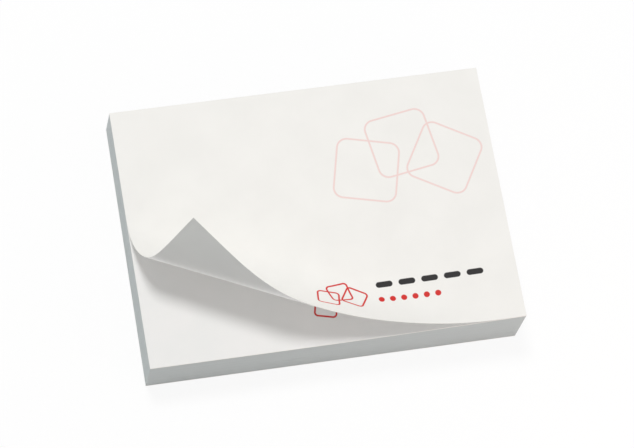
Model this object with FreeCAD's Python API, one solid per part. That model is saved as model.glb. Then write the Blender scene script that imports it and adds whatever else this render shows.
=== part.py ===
import FreeCAD, Part
import math
import os

# Sticky note pad: one hundred notes glued to each other along the back edge, on a backing sheet.
# The glue holds the stack tight at the back, and the loose notes swell towards the front. The
# stack leans a little, as pads do once they have been handled.
# The top note's front-left corner has been lifted and has rolled back over the pad.
# Frame: X along the glued edge, Y towards the glued edge, Z up, in millimetres.
# The origin is the centre of the backing sheet's underside.

Vector = FreeCAD.Vector

# Notes
note_width = 105.0  # along the glued edge
note_depth = 75.0  # from the loose front edge to the glued edge
paper_thickness = 0.11
backing_thickness = 0.25

# Stack
glued_height = 11.9  # of the notes, at the glued edge
front_swell = 3.6  # further height of the loose front edge
lean_back = 0.9  # how far back the top of the stack has slipped
lean_right = 0.5  # how far to the right

# Rolled corner. The lines along which the paper is straight fan out from one point beyond the
# left side of the pad, so the paper lies on cones and the roll is tighter towards the left.
# The lengths of the bends are measured at the fan distance.
lift_line_angle = 23.0  # how far the line where the note leaves the pad turns from X, to the front
lift_line_distance = 39.8  # from the lifted corner to that line
fan_distance = 280.0  # along that line, from the foot of that distance to the fan point
peel_length = 6.4  # first bend, where the note leaves the pad
peel_radius = 10.0
lift_radius = 21.5  # gentler bend from there to the roll
roll_length = 12.3  # tightest bend, over the top of the roll
roll_radius = 9.3
tip_length = 6.0  # the corner itself stays flat

# Points along each bend through which its edge curves pass
bend_steps = 10

half_width = note_width / 2
half_depth = note_depth / 2

# Where a note that lies flat about the origin goes, to be the top one: it slopes up to the front
# about the glued edge, and has moved with the top of the stack.
swell = FreeCAD.Rotation(Vector(1, 0, 0), -math.degrees(math.atan2(front_swell, note_depth)))
top_place = FreeCAD.Placement(Vector(lean_right, lean_back, backing_thickness + glued_height),
                              swell, Vector(0, half_depth, 0))


class RolledNote:
    """The shape of the top note, as a function of places on the same note laid flat.

    A place is given by its direction from the fan point, as an angle from the lift line, and its
    distance from the fan point. Both stay the same when the paper bends, because it doesn't
    stretch. The flat note lies about the origin, with its underside at height 0.
    """

    def __init__(self):
        turn = math.radians(-lift_line_angle)
        self.ruling = Vector(math.cos(turn), math.sin(turn), 0)
        self.across = Vector(math.sin(turn), -math.cos(turn), 0)
        self.corner = Vector(-half_width, -half_depth, 0)
        self.fan_point = (self.corner - self.across * lift_line_distance
                          - self.ruling * fan_distance)
        self.corner_angle = math.atan2(lift_line_distance, fan_distance)
        peel, roll, tip = [length / fan_distance
                           for length in (peel_length, roll_length, tip_length)]
        self.tip_angle = self.corner_angle - tip
        # The front right corner is lifted too where its angle is more than 0.
        self.front_right = Vector(half_width, -half_depth, 0)
        away = self.front_right - self.fan_point
        self.front_right_angle = math.atan2(away.dot(self.across), away.dot(self.ruling))
        # Each bend: the angle of the fan that it covers, and its turn per unit of that angle.
        self.bends = [(peel, fan_distance / peel_radius),
                      (self.tip_angle - roll - peel, fan_distance / lift_radius),
                      (roll, fan_distance / roll_radius)]

    def frame(self, angle):
        """Direction of the straight line at this fan angle, and the paper's normal along it.

        Within a bend both turn about one fixed axis, the axis of the bend's cone.
        """
        ruling, normal = self.ruling, Vector(0, 0, 1)
        for span, bend in self.bends + [(self.corner_angle, 0.0)]:
            step = min(angle, span)
            axis = normal + ruling * bend
            turn = FreeCAD.Rotation(axis, -math.degrees(step * axis.Length))
            ruling, normal = turn.multVec(ruling), turn.multVec(normal)
            angle -= step
            if angle <= 0:
                break
        return ruling, normal

    def place(self, angle, distance, height):
        """The point at this fan angle and distance, raised off the underside by height."""
        ruling, normal = self.frame(angle)
        return self.fan_point + ruling * distance + normal * height

    def reach(self, angle, point, direction):
        """Distance from the fan point to the flat note's edge line through point."""
        ruling = self.ruling * math.cos(angle) + self.across * math.sin(angle)
        side = Vector(-direction.y, direction.x, 0)
        return (point - self.fan_point).dot(side) / ruling.dot(side)

    def near(self, angle):
        """Distance at which the left edge crosses the straight line at this fan angle."""
        return self.reach(angle, self.corner, Vector(0, 1, 0))

    def far(self, angle):
        """Distance at which the front or the right edge crosses it, whichever is first."""
        front = self.reach(angle, self.corner, Vector(1, 0, 0))
        right = self.reach(angle, self.front_right, Vector(0, 1, 0))
        return min(front, right) if front > 0 else right

    def breaks(self):
        """Fan angles at which a bend ends or the far edge turns its corner."""
        angles = [0.0]
        for span, bend in self.bends:
            angles.append(angles[-1] + span)
        if self.front_right_angle > 0:
            angles.append(self.front_right_angle)
        return sorted(angles)

    def edge(self, start, end, reach, height):
        """The curve that a straight edge of the note follows between two fan angles."""
        steps = [start + (end - start) * i / bend_steps for i in range(bend_steps + 1)]
        curve = Part.BSplineCurve()
        curve.interpolate(Points=[self.place(s, reach(s), height) for s in steps],
                          Parameters=steps)
        return curve.toShape()

    def strip(self, start, end):
        """Both skins and both cut edges of the paper between two fan angles."""
        corners = [(self.near, 0.0), (self.far, 0.0),
                   (self.far, paper_thickness), (self.near, paper_thickness)]
        edges = [self.edge(start, end, reach, height) for reach, height in corners]
        return [Part.makeRuledSurface(edges[i - 1], edges[i]) for i in range(4)]

    def flat(self, outline, angle, open_side):
        """Skins and cut edges of a flat part of the note, but for the side that goes on."""
        normal = self.frame(angle)[1]
        raised = [point + normal * paper_thickness for point in outline]
        faces = [Part.Face(Part.makePolygon(loop + loop[:1])) for loop in (outline, raised)]
        for i in range(len(outline)):
            if i != open_side:
                side = [outline[i - 1], outline[i], raised[i], raised[i - 1]]
                faces.append(Part.Face(Part.makePolygon(side + side[:1])))
        return faces

    def solid(self):
        """The whole note."""
        on_pad = [self.place(0, self.far(0), 0), self.place(0, self.near(0), 0),
                  Vector(-half_width, half_depth, 0), Vector(half_width, half_depth, 0)]
        if self.front_right_angle <= 0:
            on_pad.append(self.front_right)
        tip = [self.place(self.tip_angle, self.near(self.tip_angle), 0),
               self.place(self.tip_angle, self.far(self.tip_angle), 0),
               self.place(self.corner_angle, self.near(self.corner_angle), 0)]
        faces = self.flat(on_pad, 0, 1) + self.flat(tip, self.corner_angle, 1)
        angles = self.breaks()
        for start, end in zip(angles, angles[1:]):
            faces += self.strip(start, end)
        skin = Part.makeCompound(faces)
        skin.sewShape(1e-4)
        note = Part.Solid(skin.Shells[0])
        if note.Volume < 0:
            note.reverse()
        return note


def outline(height):
    """The rectangle of a note laid level at this height, from the back left round the front."""
    corners = [Vector(x, y, height)
               for x, y in ((-half_width, half_depth), (-half_width, -half_depth),
                            (half_width, -half_depth), (half_width, half_depth))]
    return Part.makePolygon(corners + corners[:1])


def backing_sheet():
    """The flat sheet under the last note."""
    return Part.Face(outline(0)).extrude(Vector(0, 0, backing_thickness))


def note_block():
    """All notes under the top one, as one solid from the backing sheet to the sloping top."""
    top = outline(0)
    top.Placement = top_place
    return Part.makeLoft([outline(backing_thickness), top], True, True)


def top_note():
    """The rolled note, laid on the block's slope."""
    note = RolledNote().solid()
    note.Placement = top_place
    return note


def main():
    """Build every piece and write one STEP file for each."""
    os.makedirs("parts", exist_ok=True)
    pieces = {"backing_sheet": backing_sheet(), "note_block": note_block(), "top_note": top_note()}
    for name, shape in pieces.items():
        shape.exportStep("parts/%s.step" % name)
        print(name, "valid" if shape.isValid() else "not valid", "volume %.2f" % shape.Volume)


main()
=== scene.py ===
"""Sticky note pad: a glued stack of white notes whose top note's corner has rolled back."""
import logging
import math
from dataclasses import dataclass, field
from enum import Enum

import bpy
import numpy as np
from mathutils import Matrix, Vector


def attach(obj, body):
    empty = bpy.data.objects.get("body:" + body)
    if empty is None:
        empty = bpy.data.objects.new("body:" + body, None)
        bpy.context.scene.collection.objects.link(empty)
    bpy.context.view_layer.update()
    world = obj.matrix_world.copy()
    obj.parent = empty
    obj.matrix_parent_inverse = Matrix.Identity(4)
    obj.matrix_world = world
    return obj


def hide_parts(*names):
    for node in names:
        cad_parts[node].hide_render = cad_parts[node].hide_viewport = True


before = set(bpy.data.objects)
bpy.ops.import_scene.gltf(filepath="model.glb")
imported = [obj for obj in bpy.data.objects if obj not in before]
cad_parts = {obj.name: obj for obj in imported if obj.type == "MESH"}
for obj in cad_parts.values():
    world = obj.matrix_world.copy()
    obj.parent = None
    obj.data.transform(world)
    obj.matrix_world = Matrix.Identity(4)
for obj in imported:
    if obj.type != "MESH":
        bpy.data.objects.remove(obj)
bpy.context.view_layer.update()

MM = 0.001
BODY = "root"
LOG = logging.getLogger("sticky_note_pad")


class Skin(Enum):
    """Sides of a note, in the order of its mesh's material slots."""

    FACE = 0
    REVERSE = 1
    CUT = 2


class Shine(Enum):
    """What becomes of light inside the paper."""

    NONE = "it stays there, as in a thick stack"
    IN = "it enters here, on the lit side of a single sheet"
    OUT = "a share of it leaves here, on the sheet's far side"


def linear(code: str) -> tuple[float, float, float, float]:
    """Turn an sRGB colour into Blender's linear one.

    Args:
        code: six hex digits.

    Returns:
        Red, green, blue and alpha.
    """
    parts = [int(code[i:i + 2], 16) / 255 for i in (0, 2, 4)]
    red, green, blue = [p / 12.92 if p <= 0.04045 else ((p + 0.055) / 1.055) ** 2.4 for p in parts]
    return red, green, blue, 1.0


def add_node(tree: bpy.types.NodeTree, kind: str, inputs: dict | None = None,
             **settings: object) -> bpy.types.Node:
    """Add a node with its settings and links.

    Args:
        tree: the node tree.
        kind: the node's type.
        inputs: for each input's name or number, a value, or an output to link from.
        settings: the node's own properties.

    Returns:
        The node.
    """
    node = tree.nodes.new(kind)
    for name, value in settings.items():
        setattr(node, name, value)
    for key, value in (inputs or {}).items():
        if isinstance(value, bpy.types.NodeSocket):
            tree.links.new(value, node.inputs[key])
        else:
            node.inputs[key].default_value = value
    return node


def new_material(name: str) -> tuple[bpy.types.Material, bpy.types.NodeTree]:
    """Make an empty node material.

    Args:
        name: the material's name.

    Returns:
        The material and its node tree.
    """
    material = bpy.data.materials.new(name)
    material.use_nodes = True
    material.node_tree.nodes.clear()
    return material, material.node_tree


def mesh_object(name: str, points: np.ndarray, faces: list, slots: np.ndarray,
                places: np.ndarray, materials: list[bpy.types.Material]) -> bpy.types.Object:
    """Make an object at the origin from points in millimetres.

    Args:
        name: the object's name.
        points: one row for each vertex, in millimetres.
        faces: tuples of vertex numbers.
        slots: each face's material slot.
        places: for each corner of each face, its place on the flat paper, in millimetres.
        materials: the materials, one for each slot.

    Returns:
        The linked object.
    """
    mesh = bpy.data.meshes.new(name)
    mesh.from_pydata((points * MM).tolist(), [], faces)
    for material in materials:
        mesh.materials.append(material)
    mesh.polygons.foreach_set("material_index", slots.astype(np.int32))
    layer = mesh.uv_layers.new(name="paper")
    layer.data.foreach_set("uv", (places * MM).astype(np.float32).ravel())
    mesh.update()
    piece = bpy.data.objects.new(name, mesh)
    bpy.context.scene.collection.objects.link(piece)
    return piece


def turn_about(vectors: np.ndarray, axes: np.ndarray, angles: np.ndarray) -> np.ndarray:
    """Turn each vector about its own axis: v cos a + (n x v) sin a + n (n . v) (1 - cos a).

    Args:
        vectors: one row for each vector.
        axes: one axis for each, of any length.
        angles: one angle for each, in radians.

    Returns:
        The turned vectors.
    """
    unit = axes / np.linalg.norm(axes, axis=1, keepdims=True)
    cosine, sine = np.cos(angles)[:, None], np.sin(angles)[:, None]
    along = (unit * vectors).sum(axis=1, keepdims=True)
    return vectors * cosine + np.cross(unit, vectors) * sine + unit * along * (1 - cosine)


@dataclass(frozen=True)
class Print:
    """The printed design, in millimetres on the flat note, from the note's centre.

    Three tilted squares in outline lie scattered over each other, large in a pale tint and small
    in full red. A row of black dashes and a row of red dots run beside the small ones.
    """

    line: float = 0.5
    tint_centre: tuple[float, float] = (27.0, 14.0)
    tint_size: float = 17.5
    mark_centre: tuple[float, float] = (2.0, -25.5)
    mark_size: float = 6.0
    corner_share: float = 0.16
    squares: tuple[tuple[float, float, float], ...] = (
        (-0.62, -0.16, 14.0), (0.02, 0.22, -9.0), (0.66, -0.12, 31.0))
    dashes: tuple[float, float, float] = (12.0, 44.0, -22.6)
    dash_pitch: float = 6.4
    dash_length: float = 3.0
    dots: tuple[float, float, float] = (12.0, 31.2, -27.2)
    dot_pitch: float = 3.2
    dot: float = 1.7
    soft: float = 0.08
    tint: str = "F0D6D2"
    red: str = "D22B27"
    black: str = "1F1D1E"

    def rounded(self, tree: bpy.types.NodeTree, place: bpy.types.NodeSocket,
                half: tuple[float, float]) -> bpy.types.NodeSocket:
        """Distance outside a bar or square about the origin: the length of max(|p| - half, 0).

        Args:
            tree: the node tree.
            place: the place from its centre, in metres.
            half: its half width and half height, in millimetres.

        Returns:
            The distance, in metres.
        """
        size_of = add_node(tree, "ShaderNodeVectorMath", {0: place}, operation="ABSOLUTE")
        past = add_node(tree, "ShaderNodeVectorMath",
                        {0: size_of.outputs[0], 1: (half[0] * MM, half[1] * MM, 1)},
                        operation="SUBTRACT")
        outside = add_node(tree, "ShaderNodeVectorMath", {0: past.outputs[0], 1: (0, 0, 0)},
                           operation="MAXIMUM")
        return add_node(tree, "ShaderNodeVectorMath", {0: outside.outputs[0]},
                        operation="LENGTH").outputs["Value"]

    def band(self, tree: bpy.types.NodeTree, distance: bpy.types.NodeSocket, middle: float,
             width: float) -> bpy.types.NodeSocket:
        """Cover of a band of the given width about the given distance.

        Args:
            tree: the node tree.
            distance: the distance, in metres.
            middle: the distance at the band's middle, in millimetres.
            width: the band's width, in millimetres.

        Returns:
            An output that is 1 in the band and 0 outside it.
        """
        off = add_node(tree, "ShaderNodeMath", {0: distance, 1: middle * MM}, operation="SUBTRACT")
        away = add_node(tree, "ShaderNodeMath", {0: off.outputs[0]}, operation="ABSOLUTE")
        half = 0.5 * width
        cover = add_node(tree, "ShaderNodeMapRange",
                         {"Value": away.outputs[0], "From Min": (half - self.soft) * MM,
                          "From Max": (half + self.soft) * MM, "To Min": 1.0, "To Max": 0.0})
        return cover.outputs[0]

    def scattered(self, tree: bpy.types.NodeTree, place: bpy.types.NodeSocket,
                  centre: tuple[float, float], size: float) -> bpy.types.NodeSocket:
        """Cover of the three square outlines.

        Args:
            tree: the node tree.
            place: the place on the note, in metres.
            centre: the group's centre, in millimetres.
            size: one square's width, in millimetres.

        Returns:
            An output that is 1 on a line and 0 off it.
        """
        radius = self.corner_share * size
        straight = 0.5 * size - radius
        cover = None
        for right, up, tilt in self.squares:
            middle = ((centre[0] + right * size) * MM, (centre[1] + up * size) * MM, 0)
            shifted = add_node(tree, "ShaderNodeVectorMath", {0: place, 1: middle},
                               operation="SUBTRACT")
            turned = add_node(tree, "ShaderNodeVectorRotate",
                              {"Vector": shifted.outputs[0], "Angle": math.radians(tilt)},
                              rotation_type="Z_AXIS")
            distance = self.rounded(tree, turned.outputs[0], (straight, straight))
            on_line = self.band(tree, distance, radius, self.line)
            cover = on_line if cover is None else add_node(
                tree, "ShaderNodeMath", {0: cover, 1: on_line}, operation="MAXIMUM").outputs[0]
        return cover

    def row(self, tree: bpy.types.NodeTree, place: bpy.types.NodeSocket,
            span: tuple[float, float, float], pitch: float, length: float
            ) -> bpy.types.NodeSocket:
        """Cover of a row of dots or dashes, from the distance to the middle of each pitch.

        Args:
            tree: the node tree.
            place: the place on the note, in metres.
            span: the row's start and end across the note and its height on it, in millimetres.
            pitch: from one to the next, in millimetres.
            length: a dash's straight length, in millimetres, or 0 for a dot.

        Returns:
            An output that is 1 on a dot or dash and 0 off it.
        """
        start, end, height = span
        apart = add_node(tree, "ShaderNodeSeparateXYZ", {0: place})
        along = add_node(tree, "ShaderNodeMath", {0: apart.outputs[0], 1: start * MM},
                         operation="SUBTRACT")
        cell = add_node(tree, "ShaderNodeMath", {0: along.outputs[0], 1: pitch * MM},
                        operation="FLOORED_MODULO")
        across = add_node(tree, "ShaderNodeMath", {0: cell.outputs[0], 1: 0.5 * pitch * MM},
                          operation="SUBTRACT")
        up = add_node(tree, "ShaderNodeMath", {0: apart.outputs[1], 1: height * MM},
                      operation="SUBTRACT")
        both = add_node(tree, "ShaderNodeCombineXYZ", {0: across.outputs[0], 1: up.outputs[0]})
        distance = self.rounded(tree, both.outputs[0], (0.5 * length, 0.0))
        dot = self.band(tree, distance, 0.0, self.dot)
        inside = self.band(tree, apart.outputs[0], 0.5 * (start + end), end - start)
        return add_node(tree, "ShaderNodeMath", {0: dot, 1: inside},
                        operation="MULTIPLY").outputs[0]

    def over(self, tree: bpy.types.NodeTree, place: bpy.types.NodeSocket,
             paper: bpy.types.NodeSocket) -> bpy.types.NodeSocket:
        """Lay the design over the paper's colour.

        Args:
            tree: the node tree.
            place: the place on the note, in metres.
            paper: the paper's colour.

        Returns:
            The printed colour.
        """
        inks = ((self.tint, self.scattered(tree, place, self.tint_centre, self.tint_size)),
                (self.red, self.scattered(tree, place, self.mark_centre, self.mark_size)),
                (self.black, self.row(tree, place, self.dashes, self.dash_pitch,
                                      self.dash_length)),
                (self.red, self.row(tree, place, self.dots, self.dot_pitch, 0.0)))
        colour = paper
        for ink, cover in inks:
            colour = add_node(tree, "ShaderNodeMix",
                              {"Factor": cover, 6: colour, 7: linear(ink)},
                              data_type="RGBA").outputs[2]
        return colour


@dataclass(frozen=True)
class PaperFinish:
    """Note paper: matt, with soft clouds in its tone and a faint tooth of fibres.

    The face is coated and a warm white. The reverse and the cut edges are a cooler grey, which is
    painted shade: on the reverse it darkens the rolled corner's underside, and on the cut edges it
    stands in for the shade between the stacked sheets. A single raised sheet lets part of the light
    through, so its far side is lighter where the near side is lit. A stack's cut edges can have a
    lighter rim along their top, a painted highlight for the light on the top notes' edges. Cloud,
    fibre, tooth and highlight sizes are in millimetres.
    """

    name: str
    colour: str
    cloud_colour: str
    cloud: float = 14.0
    cloud_range: tuple[float, float] = (0.35, 0.65)
    fibre: float = 0.5
    tooth: float = 0.01
    tooth_strength: float = 0.35
    roughness: float = 0.62
    refraction: float = 1.5
    specular: float = 0.3
    sheen: float = 0.0
    sheen_roughness: float = 0.45
    stretch: tuple[float, float, float] = (1.0, 1.0, 1.0)
    shine: Shine = Shine.NONE
    shine_share: float = 0.2
    # rim: a painted highlight, a lighter colour laid along the top of a stack's cut edges above the
    # given height.
    rim: str | None = None
    painted_highlight_from: float = 0.0
    painted_highlight_soft: float = 0.1
    printed: Print | None = None

    def material(self) -> bpy.types.Material:
        """Build the finish as a material on the piece's own flat-paper map.

        Returns:
            The material.
        """
        material, tree = new_material(self.name)
        place = add_node(tree, "ShaderNodeUVMap", uv_map="paper").outputs[0]
        drawn = add_node(tree, "ShaderNodeMapping",
                         {"Vector": place, "Scale": self.stretch}).outputs[0]
        clouds = add_node(tree, "ShaderNodeTexNoise",
                          {"Vector": drawn, "Scale": 1 / (self.cloud * MM), "Detail": 3.0})
        cover = add_node(tree, "ShaderNodeMapRange",
                         {"Value": clouds.outputs[0], "From Min": self.cloud_range[0],
                          "From Max": self.cloud_range[1]})
        colour = add_node(tree, "ShaderNodeMix",
                          {"Factor": cover.outputs[0], 6: linear(self.colour),
                           7: linear(self.cloud_colour)}, data_type="RGBA").outputs[2]
        # Painted highlight: blend the edge colour towards the lighter rim colour above the given
        # height.
        if self.rim:
            height = add_node(tree, "ShaderNodeSeparateXYZ", {0: place}).outputs[1]
            high = add_node(tree, "ShaderNodeMapRange",
                            {"Value": height, "From Min": (self.painted_highlight_from - self.painted_highlight_soft) * MM,
                             "From Max": (self.painted_highlight_from + self.painted_highlight_soft) * MM})
            colour = add_node(tree, "ShaderNodeMix",
                              {"Factor": high.outputs[0], 6: colour, 7: linear(self.rim)},
                              data_type="RGBA").outputs[2]
        if self.printed:
            colour = self.printed.over(tree, place, colour)
        fibres = add_node(tree, "ShaderNodeTexNoise",
                          {"Vector": drawn, "Scale": 1 / (self.fibre * MM), "Detail": 4.0})
        bump = add_node(tree, "ShaderNodeBump",
                        {"Height": fibres.outputs[0], "Strength": self.tooth_strength,
                         "Distance": self.tooth * MM})
        paper = add_node(tree, "ShaderNodeBsdfPrincipled",
                         {"Base Color": colour, "Roughness": self.roughness, "IOR": self.refraction,
                          "Sheen Weight": self.sheen, "Sheen Roughness": self.sheen_roughness,
                          "Specular IOR Level": self.specular, "Normal": bump.outputs[0]})
        surface = paper.outputs[0]
        if self.shine is not Shine.NONE:
            share = self.shine_share
            if self.shine is Shine.IN:
                share = add_node(tree, "ShaderNodeNewGeometry").outputs["Backfacing"]
            passed = add_node(tree, "ShaderNodeBsdfTranslucent", {"Color": linear("FFFFFF")})
            surface = add_node(tree, "ShaderNodeMixShader",
                               {0: share, 1: surface, 2: passed.outputs[0]}).outputs[0]
        add_node(tree, "ShaderNodeOutputMaterial", {"Surface": surface})
        return material


@dataclass(frozen=True)
class BoardFinish:
    """Release-coated backing paper: heavy, smooth and off-white, seen only at its cut edge."""

    name: str = "release_coated_backing_paper"
    colour: str = "E2E2DC"
    cloud_colour: str = "DADAD4"
    cloud: float = 9.0
    roughness: float = 0.45
    refraction: float = 1.5

    def material(self) -> bpy.types.Material:
        """Build the finish on Object coordinates.

        Returns:
            The material.
        """
        material, tree = new_material(self.name)
        place = add_node(tree, "ShaderNodeTexCoord").outputs["Object"]
        clouds = add_node(tree, "ShaderNodeTexNoise",
                          {"Vector": place, "Scale": 1 / (self.cloud * MM), "Detail": 3.0})
        colour = add_node(tree, "ShaderNodeMix",
                          {"Factor": clouds.outputs[0], 6: linear(self.colour),
                           7: linear(self.cloud_colour)}, data_type="RGBA")
        board = add_node(tree, "ShaderNodeBsdfPrincipled",
                         {"Base Color": colour.outputs[2], "Roughness": self.roughness,
                          "IOR": self.refraction})
        add_node(tree, "ShaderNodeOutputMaterial", {"Surface": board.outputs[0]})
        return material


@dataclass
class Stack:
    """The notes under the top one, each with its own cut edge, in millimetres.

    The right rise starts at the given share of the width. Of a note's share of the height, the cut
    edge takes the cut share and the groove above it the rest, and the glue leaves the given share
    of the groove's depth open.
    """

    width: float = 105.0
    depth: float = 75.0
    backing: float = 0.25
    glued_height: float = 11.9
    front_swell: float = 3.6
    lean_back: float = 0.9
    lean_right: float = 0.5
    right_rise: float = 2.8
    rise_from: float = 0.3
    notes: int = 99
    side_steps: int = 16
    cut_share: float = 0.72
    gap_depth: float = 0.07
    glued_gap: float = 0.25
    stray: float = 0.03
    seed: int = 7

    def top(self, points: np.ndarray) -> np.ndarray:
        """Lay points given about the origin on the stack's sloping top.

        The slope rises to the front about the glued edge, and has moved with the leaning stack.
        It rises further towards the front right corner, where the notes are loosest.

        Args:
            points: one row for each point.

        Returns:
            The moved points.
        """
        slope = Matrix.Rotation(-math.atan2(self.front_swell, self.depth), 4, "X")
        hinge = Matrix.Translation((0, self.depth / 2, 0))
        lift = Matrix.Translation((self.lean_right, self.lean_back,
                                   self.backing + self.glued_height))
        move = np.array(lift @ hinge @ slope @ hinge.inverted())
        moved = points @ move[:3, :3].T + move[:3, 3]
        right = points[:, 0] / self.width + 0.5 - self.rise_from
        right = np.maximum(right, 0) / (1 - self.rise_from)
        front = 0.5 - points[:, 1] / self.depth
        moved[:, 2] += self.right_rise * right ** 2 * front
        return moved

    def ring(self) -> np.ndarray:
        """Places round a note's edge, from -1 to 1 across and along it, from the back left."""
        step = np.linspace(-1, 1, self.side_steps, endpoint=False)
        one = np.ones_like(step)
        sides = [(-one, -step), (step, -one), (one, step), (-step, one)]
        return np.concatenate([np.stack(side, axis=1) for side in sides])

    def build(self, face: bpy.types.Material, cut: bpy.types.Material) -> bpy.types.Object:
        """Build the stack as rows of points round it, four to a note, and over its top face.

        A row at level t lies t of the way from the backing sheet to the sloping top. Each note
        has two rows at its cut edge and two further in, where it meets the next one; the glue
        fills most of that gap along the back. The rows over the top face are ever smaller
        rectangles, so that the face follows the rise of its front right corner.

        Args:
            face: the top note's printed face.
            cut: the cut edges.

        Returns:
            The piece.
        """
        random = np.random.default_rng(self.seed)
        ring = self.ring()
        count = len(ring)
        steps = np.array([0, self.cut_share, self.cut_share, 1.0])
        level = (np.arange(self.notes)[:, None] + steps) / self.notes
        inset = np.tile([0, 0, self.gap_depth, self.gap_depth], (self.notes, 1))
        inset[-1, 1:] = 0
        level[-1, 1:] = 1.0
        slip = random.uniform(0, self.stray, (self.notes, 1, 2)) * np.ones((1, 4, 1))
        slip[-1] = 0
        level, inset, slip = level.ravel(), inset.ravel(), slip.reshape(-1, 2)
        open_edge = np.where(ring[:, 1] == 1, self.glued_gap, 1.0)
        half = np.array([self.width, self.depth]) / 2
        reach = half - slip[:, None, :] - (inset[:, None] * open_edge)[:, :, None]
        flat = np.concatenate([ring * reach, np.zeros((len(level), count, 1))], axis=2)
        low = flat + [0, 0, self.backing]
        high = self.top(flat.reshape(-1, 3)).reshape(flat.shape)
        points = (low + (high - low) * level[:, None, None])[:-2]
        edge_rows = len(points)
        shrink = np.arange(self.side_steps // 2 - 1, 0, -1) * 2 / self.side_steps
        inner = np.concatenate([ring[None] * half * shrink[:, None, None],
                                np.zeros((len(shrink), count, 1))], axis=2)
        over = self.top(inner.reshape(-1, 3)).reshape(inner.shape)
        points = np.concatenate([points, over])
        rows = len(points)
        row, column = np.meshgrid(np.arange(rows - 1), np.arange(count), indexing="ij")
        after = (column + 1) % count
        walls = np.stack([row * count + column, row * count + after,
                          (row + 1) * count + after, (row + 1) * count + column], axis=-1)
        faces = [tuple(quad) for quad in walls.reshape(-1, 4).tolist()]
        faces += [tuple(range(count - 1, -1, -1)), tuple(range((rows - 1) * count, rows * count))]
        face_slot, cut_slot = 0, 1
        slots = np.full(len(faces), cut_slot)
        slots[(edge_rows - 1) * count:-2] = face_slot
        slots[-1] = face_slot
        around = 2 * (self.width + self.depth) / count
        height = level[:edge_rows] * (self.glued_height + 0.5 * self.front_swell)
        low_row, edge_column = row[:edge_rows - 1], column[:edge_rows - 1]
        on_edge = np.stack(
            [np.stack([edge_column, edge_column + 1, edge_column + 1, edge_column], axis=-1)
             * around,
             height[np.stack([low_row, low_row, low_row + 1, low_row + 1], axis=-1)]], axis=-1)
        outline = ring * half
        flat_rows = outline * np.concatenate([[1.0], shrink])[:, None, None]
        top_row, top_column = np.meshgrid(np.arange(len(shrink)), np.arange(count),
                                          indexing="ij")
        top_after = (top_column + 1) % count
        on_top = np.stack([flat_rows[top_row, top_column], flat_rows[top_row, top_after],
                           flat_rows[top_row + 1, top_after],
                           flat_rows[top_row + 1, top_column]], axis=2)
        places = np.concatenate([on_edge.reshape(-1, 2), on_top.reshape(-1, 2),
                                 outline[::-1], flat_rows[-1]])
        return mesh_object("stacked_notes", points.reshape(-1, 3), faces, slots, places,
                           [face, cut])

    def dress(self, face: bpy.types.Material, cut: bpy.types.Material) -> bpy.types.Object:
        """Build the stack and let it stand for its CAD node.

        Args:
            face: the top note's printed face.
            cut: the cut edges.

        Returns:
            The piece.
        """
        piece = self.build(face, cut)
        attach(piece, BODY)
        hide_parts("note_block")
        LOG.info("%s: %d notes, %d faces", piece.name, self.notes, len(piece.data.polygons))
        return piece


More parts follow.
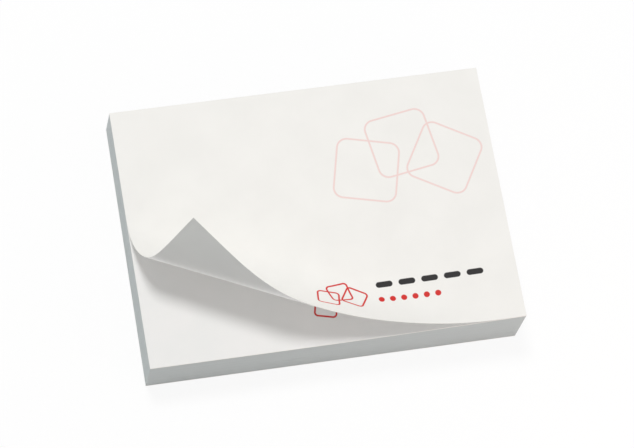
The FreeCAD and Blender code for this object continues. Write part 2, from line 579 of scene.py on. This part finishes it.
@dataclass
class RolledNote:
    """The top note, flat but for its rolled front left corner, in millimetres and degrees.

    The paper's straight lines fan out from one point beyond the left side. A place on the flat
    note is an angle from the lift line, as seen from that point, and a distance from it; both
    stay the same when the paper bends. The bends are measured at the fan distance.
    """

    stack: Stack
    thickness: float = 0.11
    lift_line_angle: float = 23.0
    lift_line_distance: float = 39.8
    fan_distance: float = 280.0
    peel_length: float = 6.4
    peel_radius: float = 10.0
    lift_radius: float = 21.5
    roll_length: float = 12.3
    roll_radius: float = 9.3
    tip_length: float = 6.0
    steps: tuple[int, int] = (150, 108)

    def bend(self, across: np.ndarray, along: np.ndarray, height: float) -> np.ndarray:
        """Places of flat points on the rolled note, before it is laid on the stack.

        Over a bend, the straight line and the paper's normal turn about the axis
        normal + line * bend, the axis of a cone, by the angle turned times that axis's length.

        Args:
            across: the flat points' places across the note.
            along: their places along it.
            height: how far they are raised off its underside.

        Returns:
            One row for each point.
        """
        turn = math.radians(-self.lift_line_angle)
        line = np.array([math.cos(turn), math.sin(turn), 0])
        side = np.array([math.sin(turn), -math.cos(turn), 0])
        corner = -0.5 * np.array([self.stack.width, self.stack.depth, 0])
        fan_point = corner - side * self.lift_line_distance - line * self.fan_distance
        away = np.stack([across, along, np.zeros_like(across)], axis=1) - fan_point
        distance = np.linalg.norm(away, axis=1)
        angle = np.arctan2(away @ side, away @ line)
        flat = np.minimum(angle, 0)
        ruling = np.cos(flat)[:, None] * line + np.sin(flat)[:, None] * side
        normal = np.tile([0.0, 0.0, 1.0], (len(across), 1))
        corner_angle = math.atan2(self.lift_line_distance, self.fan_distance)
        peel, roll, tip = [length / self.fan_distance
                           for length in (self.peel_length, self.roll_length, self.tip_length)]
        bends = ((peel, self.peel_radius), (corner_angle - tip - roll - peel, self.lift_radius),
                 (roll, self.roll_radius), (corner_angle, math.inf))
        left = np.maximum(angle, 0)
        for span, radius in bends:
            step = np.minimum(left, span)
            axis = normal + ruling * (self.fan_distance / radius)
            turned = -step * np.linalg.norm(axis, axis=1)
            ruling, normal = (turn_about(ruling, axis, turned), turn_about(normal, axis, turned))
            left = left - step
        return fan_point + ruling * distance[:, None] + normal * height

    def build(self, face: bpy.types.Material, reverse: bpy.types.Material,
              cut: bpy.types.Material) -> bpy.types.Object:
        """Build both skins as grids over the flat note, closed by its four cut edges.

        Args:
            face: the printed face.
            reverse: the underside.
            cut: the cut edges.

        Returns:
            The piece.
        """
        columns, rows = self.steps[0] + 1, self.steps[1] + 1
        half_width, half_depth = self.stack.width / 2, self.stack.depth / 2
        across, along = [grid.ravel() for grid in np.meshgrid(
            np.linspace(-half_width, half_width, columns),
            np.linspace(-half_depth, half_depth, rows))]
        flat = np.stack([across, along], axis=1)
        points = np.concatenate([self.bend(across, along, height)
                                 for height in (0.0, self.thickness)])
        number = np.arange(columns * rows).reshape(rows, columns)
        upper = np.stack([number[:-1, :-1], number[:-1, 1:], number[1:, 1:], number[1:, :-1]],
                         axis=-1).reshape(-1, 4)
        rim = np.concatenate([number[0, :-1], number[:-1, -1], number[-1, :0:-1],
                              number[:0:-1, 0]])
        onward = np.roll(rim, -1)
        raised = columns * rows
        walls = np.stack([rim, onward, onward + raised, rim + raised], axis=1)
        quads = np.concatenate([upper + raised, upper[:, ::-1], walls])
        slots = np.repeat([Skin.FACE.value, Skin.REVERSE.value, Skin.CUT.value],
                          [len(upper), len(upper), len(walls)])
        piece = mesh_object("rolled_note", self.stack.top(points),
                            [tuple(quad) for quad in quads.tolist()], slots,
                            flat[quads.ravel() % raised], [face, reverse, cut])
        smooth = slots != Skin.CUT.value
        piece.data.polygons.foreach_set("use_smooth", smooth)
        edges = np.empty(2 * len(piece.data.edges), dtype=np.int32)
        piece.data.edges.foreach_get("vertices", edges)
        on_rim = np.isin(edges.reshape(-1, 2) % raised, rim).all(axis=1)
        sharp = piece.data.attributes.new("sharp_edge", "BOOLEAN", "EDGE")
        sharp.data.foreach_set("value", on_rim)
        return piece

    def dress(self, face: bpy.types.Material, reverse: bpy.types.Material,
              cut: bpy.types.Material) -> bpy.types.Object:
        """Build the note and let it stand for its CAD node.

        Args:
            face: the printed face.
            reverse: the underside.
            cut: the cut edges.

        Returns:
            The piece.
        """
        piece = self.build(face, reverse, cut)
        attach(piece, BODY)
        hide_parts("top_note")
        LOG.info("%s: %d faces", piece.name, len(piece.data.polygons))
        return piece


@dataclass
class BackingSheet:
    """The sheet under the last note, which keeps its CAD form."""

    finish: BoardFinish = field(default_factory=BoardFinish)

    def dress(self) -> None:
        """Give the CAD node its material."""
        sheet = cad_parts["backing_sheet"]
        sheet.data.materials.clear()
        sheet.data.materials.append(self.finish.material())
        LOG.info("backing_sheet: CAD form")


@dataclass
class Studio:
    """A white ground, soft even light, a lamp high behind the pad and a warm one low before it.

    The ground's size and the lamps' distances are in metres, the ground's gap in millimetres and
    the angles in degrees.
    """

    ground_size: float = 6.0
    ground_gap: float = 0.02
    ground_colour: str = "FFFFFF"
    ground_glow: float = 0.88
    sky: float = 0.515
    lamp: float = 1.38
    lamp_azimuth: float = 15.0
    lamp_height: float = 68.5
    lamp_width: float = 14.0
    lamp_distance: float = 1.2
    lamp_colour: str = "FFFFFF"
    fill: float = 0.97
    fill_azimuth: float = 225.0
    fill_height: float = 10.0
    fill_width: float = 50.0
    fill_distance: float = 0.26
    fill_colour: str = "FFE6DC"

    def seen(self, tree: bpy.types.NodeTree) -> bpy.types.NodeSocket:
        """Whether the camera, a reflection or a clear surface looks at it.

        Args:
            tree: the node tree.

        Returns:
            An output that is 1 if so.
        """
        path = add_node(tree, "ShaderNodeLightPath").outputs
        mirrored = add_node(tree, "ShaderNodeMath",
                            {0: path["Is Camera Ray"], 1: path["Is Glossy Ray"]},
                            operation="MAXIMUM")
        return add_node(tree, "ShaderNodeMath",
                        {0: mirrored.outputs[0], 1: path["Is Transmission Ray"]},
                        operation="MAXIMUM").outputs[0]

    def ground(self) -> None:
        """Lay the ground: white to the eye, with the pad's shadow held faint.

        It lies a hair below the backing sheet, so that no two faces share a plane.
        """
        half = self.ground_size / 2
        low = -self.ground_gap * MM
        corners = [(-half, -half, low), (half, -half, low), (half, half, low),
                   (-half, half, low)]
        mesh = bpy.data.meshes.new("ground")
        mesh.from_pydata(corners, [], [(0, 1, 2, 3)])
        ground = bpy.data.objects.new("ground", mesh)
        bpy.context.scene.collection.objects.link(ground)
        material, tree = new_material("studio_ground")
        seen = self.seen(tree)
        matt = add_node(tree, "ShaderNodeBsdfDiffuse", {"Color": linear(self.ground_colour)})
        glow = add_node(tree, "ShaderNodeEmission", {"Strength": 1.0})
        share = add_node(tree, "ShaderNodeMath", {0: seen, 1: self.ground_glow},
                         operation="MULTIPLY")
        both = add_node(tree, "ShaderNodeMixShader",
                        {0: share.outputs[0], 1: matt.outputs[0], 2: glow.outputs[0]})
        add_node(tree, "ShaderNodeOutputMaterial", {"Surface": both.outputs[0]})
        mesh.materials.append(material)

    def surround(self) -> None:
        """Light the pad evenly from all round, before a white backdrop."""
        world = bpy.data.worlds.new("studio")
        bpy.context.scene.world = world
        world.use_nodes = True
        tree = world.node_tree
        tree.nodes.clear()
        soft = add_node(tree, "ShaderNodeBackground", {"Strength": self.sky})
        white = add_node(tree, "ShaderNodeBackground", {"Strength": 1.0})
        for node in (soft, white):
            node.inputs["Color"].default_value = linear("FFFFFF")
        both = add_node(tree, "ShaderNodeMixShader",
                        {0: self.seen(tree), 1: soft.outputs[0], 2: white.outputs[0]})
        add_node(tree, "ShaderNodeOutputWorld", {"Surface": both.outputs[0]})

    def hang(self, name: str, strength: float, azimuth: float, height: float, width: float,
             distance: float, colour: str) -> None:
        """Hang a round lamp that faces the pad.

        Args:
            name: the lamp's name.
            strength: its light on a surface at the pad that faces it.
            azimuth: degrees from straight behind the pad, towards its left.
            height: degrees above the ground.
            width: degrees that it spans, which softens its shadows.
            distance: metres from the pad.
            colour: six hex digits of sRGB.
        """
        lamp = bpy.data.lights.new(name, "AREA")
        lamp.shape = "DISK"
        lamp.size = 2 * distance * math.tan(math.radians(0.5 * width))
        lamp.energy = strength * math.pi * distance ** 2
        lamp.color = linear(colour)[:3]
        turn, rise = math.radians(azimuth), math.radians(height)
        source = Vector((-math.sin(turn) * math.cos(rise), math.cos(turn) * math.cos(rise),
                         math.sin(rise)))
        holder = bpy.data.objects.new(name, lamp)
        holder.matrix_world = (Matrix.Translation(source * distance)
                               @ source.to_track_quat("Z", "Y").to_matrix().to_4x4())
        bpy.context.scene.collection.objects.link(holder)

    def build(self) -> None:
        """Set the whole studio up."""
        self.ground()
        self.surround()
        self.hang("key_lamp", self.lamp, self.lamp_azimuth, self.lamp_height, self.lamp_width,
                  self.lamp_distance, self.lamp_colour)
        self.hang("fill_lamp", self.fill, self.fill_azimuth, self.fill_height, self.fill_width,
                  self.fill_distance, self.fill_colour)
        bpy.context.scene.view_settings.view_transform = "Standard"


@dataclass
class Viewpoint:
    """The photograph's camera: a long lens, high on the pad's front left, in millimetres."""

    target: tuple[float, float, float] = (2.29, 2.07, 0.59)
    distance: float = 986.2
    azimuth: float = 28.988
    height: float = 72.787
    roll: float = -20.475
    focal_pixels: float = 3500.0
    image_width: float = 634.0
    sensor: float = 36.0

    def build(self) -> None:
        """Place the camera and make it the scene's."""
        turn, rise = math.radians(self.azimuth), math.radians(self.height)
        back = Vector((-math.sin(turn) * math.cos(rise), -math.cos(turn) * math.cos(rise),
                       math.sin(rise)))
        right = Vector((math.cos(turn), -math.sin(turn), 0))
        up = back.cross(right)
        level = Matrix((right, up, back)).transposed()
        lens = bpy.data.cameras.new("camera")
        lens.sensor_width = self.sensor
        lens.lens = self.focal_pixels * self.sensor / self.image_width
        lens.clip_start = 0.01
        holder = bpy.data.objects.new("camera", lens)
        place = (Vector(self.target) + back * self.distance) * MM
        holder.matrix_world = (Matrix.Translation(place)
                               @ (level @ Matrix.Rotation(math.radians(-self.roll), 3, "Z"))
                               .to_4x4())
        bpy.context.scene.collection.objects.link(holder)
        bpy.context.scene.camera = holder


def main() -> None:
    """Build the pad, the studio and the camera, in that order."""
    logging.basicConfig(level=logging.INFO, format="%(message)s")
    design = Print()
    face = PaperFinish("coated_note_paper_face", "F4F3EF", "F1F0EC", shine=Shine.IN,
                       printed=design).material()
    # The reverse's grey is painted shade, darkening the rolled corner's underside.
    reverse = PaperFinish("note_paper_reverse_painted_shade", "AEB0AD", "AAACAA", sheen=1.0,
                          shine=Shine.OUT).material()
    next_face = PaperFinish("coated_note_paper_stacked", "F1F0EE", "EEEEEC",
                            printed=design).material()
    # The cut edges' grey is painted shade between the stacked sheets; their lighter top rim is a
    # painted highlight.
    cut = PaperFinish("guillotined_edges_painted_shade_and_highlight", "CBD1D1", "C8CECE", cloud=6.0,
                      stretch=(0.2, 8.0, 1.0), roughness=0.8, rim="F4F2EE",
                      painted_highlight_from=13.3).material()
    single_cut = PaperFinish("cut_edge_of_one_note", "D8D8D4", "D2D2CE", roughness=0.8).material()
    stack = Stack()
    BackingSheet().dress()
    stack.dress(next_face, cut)
    RolledNote(stack).dress(face, reverse, single_cut)
    Studio().build()
    Viewpoint().build()


if __name__ == "__main__":
    main()
